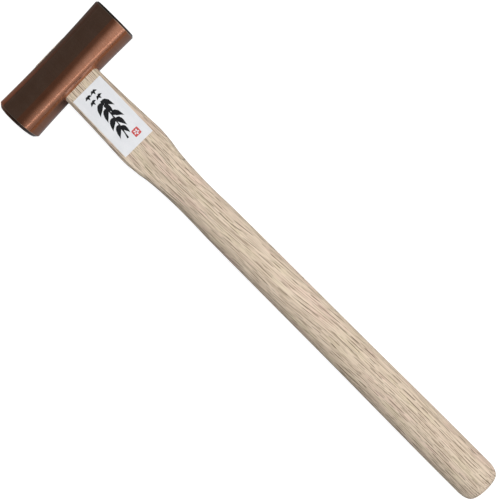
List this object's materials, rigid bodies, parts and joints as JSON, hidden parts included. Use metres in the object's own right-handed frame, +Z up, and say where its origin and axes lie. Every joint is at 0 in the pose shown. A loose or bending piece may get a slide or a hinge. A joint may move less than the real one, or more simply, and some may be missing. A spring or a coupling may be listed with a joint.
{
  "type": "carving mallet",
  "caption": "Double-faced carving hammer: a bronze cylinder with bevelled rims on an oak handle, for striking chisels and gouges.",
  "frame": {"origin": "middle of the bounding box's underside: the hammer lies on a table at z = 0, on both rims of its head and on its butt", "axes": "+X along the handle from head to butt (the handle dips 0.80 degrees to the table), +Y along the head, +Z up, out of the labelled side of the neck"},
  "size_m": [0.3128, 0.0728, 0.0254],
  "materials": {
    "bronze": "fine turned lines, brown bronze, satin",
    "oak": "pale oak, planed smooth, unvarnished",
    "steel": "plain steel",
    "paper": "white paper, faintly glossy, plain ink strokes"
  },
  "bodies": {
    "root": {"head": "bronze", "handle": "oak", "steel_wedge": "steel", "label": "paper"}
  },
  "joints": []
}
